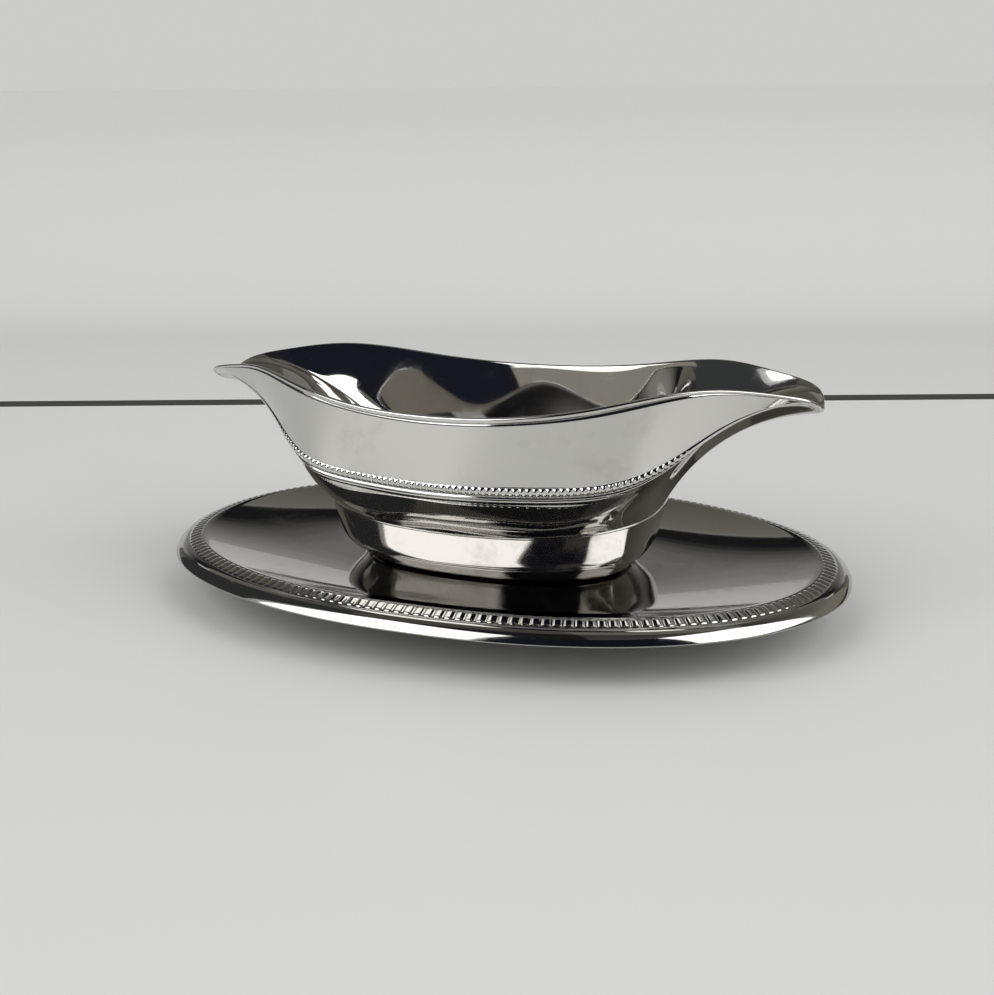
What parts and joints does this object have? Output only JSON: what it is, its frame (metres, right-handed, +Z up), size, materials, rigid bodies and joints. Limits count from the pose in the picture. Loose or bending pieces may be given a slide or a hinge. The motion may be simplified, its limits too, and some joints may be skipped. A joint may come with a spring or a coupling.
{
  "type": "sauce boat",
  "caption": "Polished steel sauce boat with a pouring spout at each end and a beaded girdle, welded into the well of an oval underplate with a ribbed border.",
  "frame": {"origin": "on the table, below the middle of the boat and of the underplate", "axes": "+X along the boat from spout to spout, +Y across it, +Z up"},
  "size_m": [0.225, 0.152, 0.075],
  "materials": {
    "boat_steel": "mirror-polished stainless steel with faint smudges and fine scratches",
    "plate_steel": "mirror-polished stainless steel with fine scratches from use",
    "weld_steel": "dull welded steel, hidden between the two pressings"
  },
  "bodies": {
    "root": {"boat_shell": "boat_steel", "underplate": "plate_steel", "weld_nugget_1": "weld_steel", "weld_nugget_2": "weld_steel", "weld_nugget_3": "weld_steel", "weld_nugget_4": "weld_steel"}
  },
  "joints": []
}
